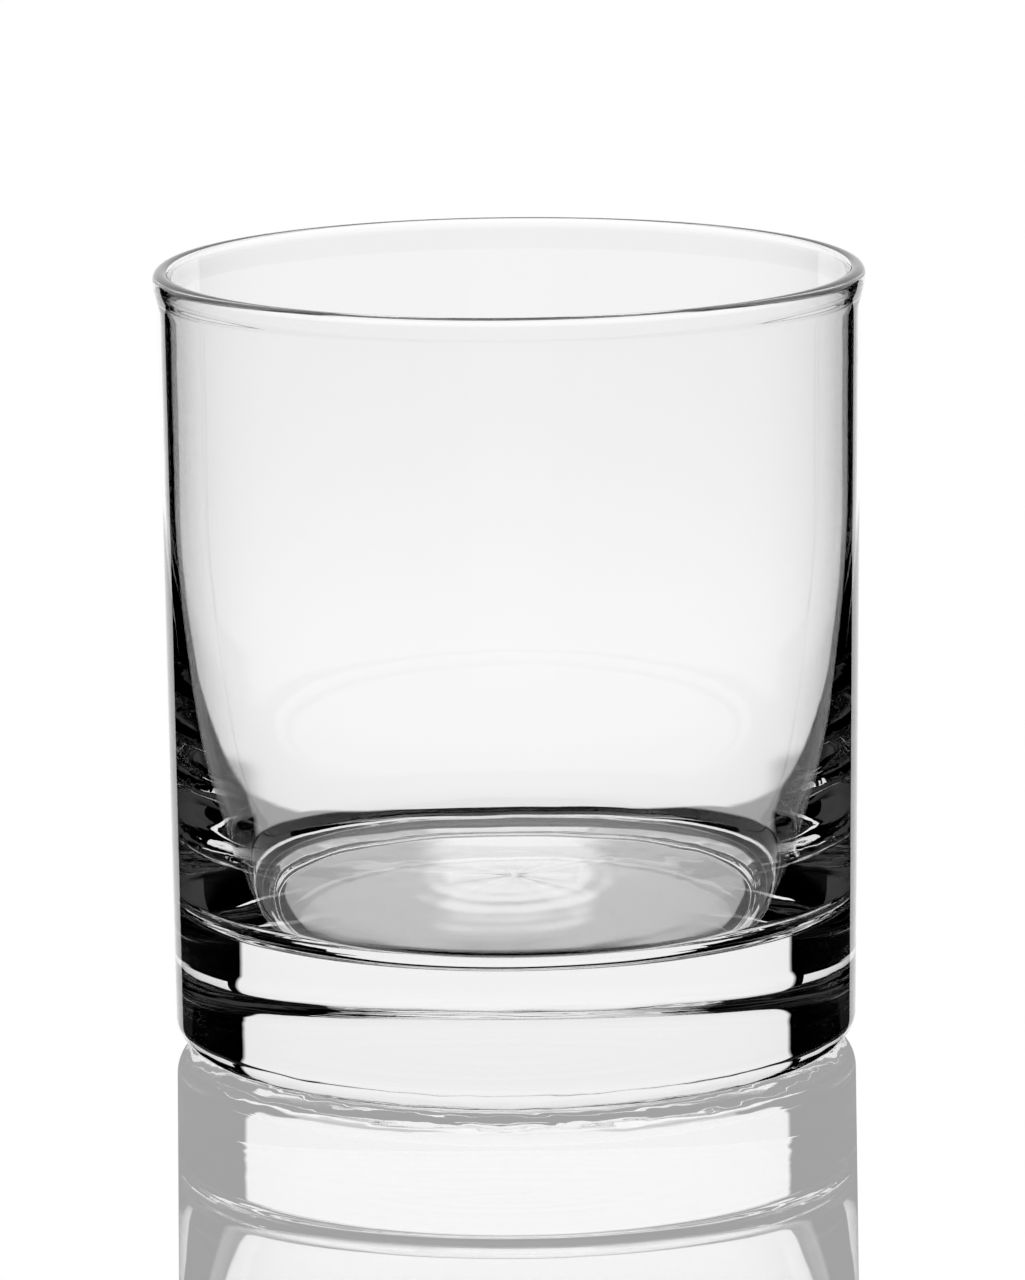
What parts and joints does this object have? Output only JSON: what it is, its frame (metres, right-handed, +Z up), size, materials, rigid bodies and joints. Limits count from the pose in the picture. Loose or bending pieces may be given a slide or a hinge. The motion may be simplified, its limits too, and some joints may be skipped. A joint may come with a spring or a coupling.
{
  "type": "whiskey tumbler",
  "caption": "Straight-sided whiskey tumbler in clear glass, with a beaded fire-polished rim, a thin wall that thickens downwards and a heavy solid base.",
  "frame": {"origin": "middle of the bearing ring under the base, on the plane the glass stands on", "axes": "+Z up along the axis of revolution, out of the mouth; X and Y are alike, because the glass is round"},
  "size_m": [0.083, 0.0828, 0.092],
  "materials": {
    "glass": "clear soda-lime glass, fire-polished, smooth and glossy inside and out"
  },
  "bodies": {
    "root": {"glass_tumbler": "glass"}
  },
  "joints": []
}
